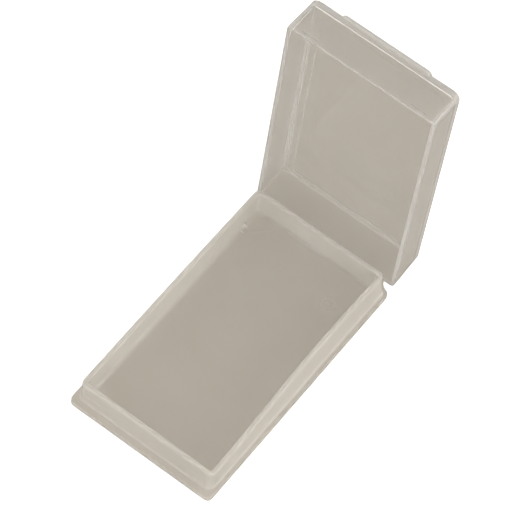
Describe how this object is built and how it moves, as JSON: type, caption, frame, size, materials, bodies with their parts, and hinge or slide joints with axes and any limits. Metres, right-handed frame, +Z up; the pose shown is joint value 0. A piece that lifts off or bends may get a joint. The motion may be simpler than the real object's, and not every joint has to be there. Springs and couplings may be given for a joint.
{
  "type": "parts storage case",
  "caption": "Small frosted plastic parts case: shallow tray with a projecting rim, deeper lid with a finger tab, joined by a living hinge and shown standing open.",
  "frame": {"origin": "centre of the tray's flat bottom face", "axes": "+Z up from the bottom face, +Y towards the hinge and the open lid, +X to the right seen from the front"},
  "size_m": [0.0508, 0.1034, 0.0931],
  "materials": {
    "frosted_plastic": "frosted see-through moulded polypropylene, satin",
    "hinge_plastic": "thin clear flexed polypropylene film"
  },
  "bodies": {
    "base": {"base_tray": "frosted_plastic", "hinge_film": "hinge_plastic"},
    "lid": {"lid": "frosted_plastic"}
  },
  "joints": [
    {"name": "lid_hinge", "type": "hinge", "parent": "base", "child": "lid", "pos_m": [0, 0.0454, 0.0021], "axis": [-1, 0, 0], "range_deg": [-90, 90], "deforming": ["hinge_film"]}
  ]
}
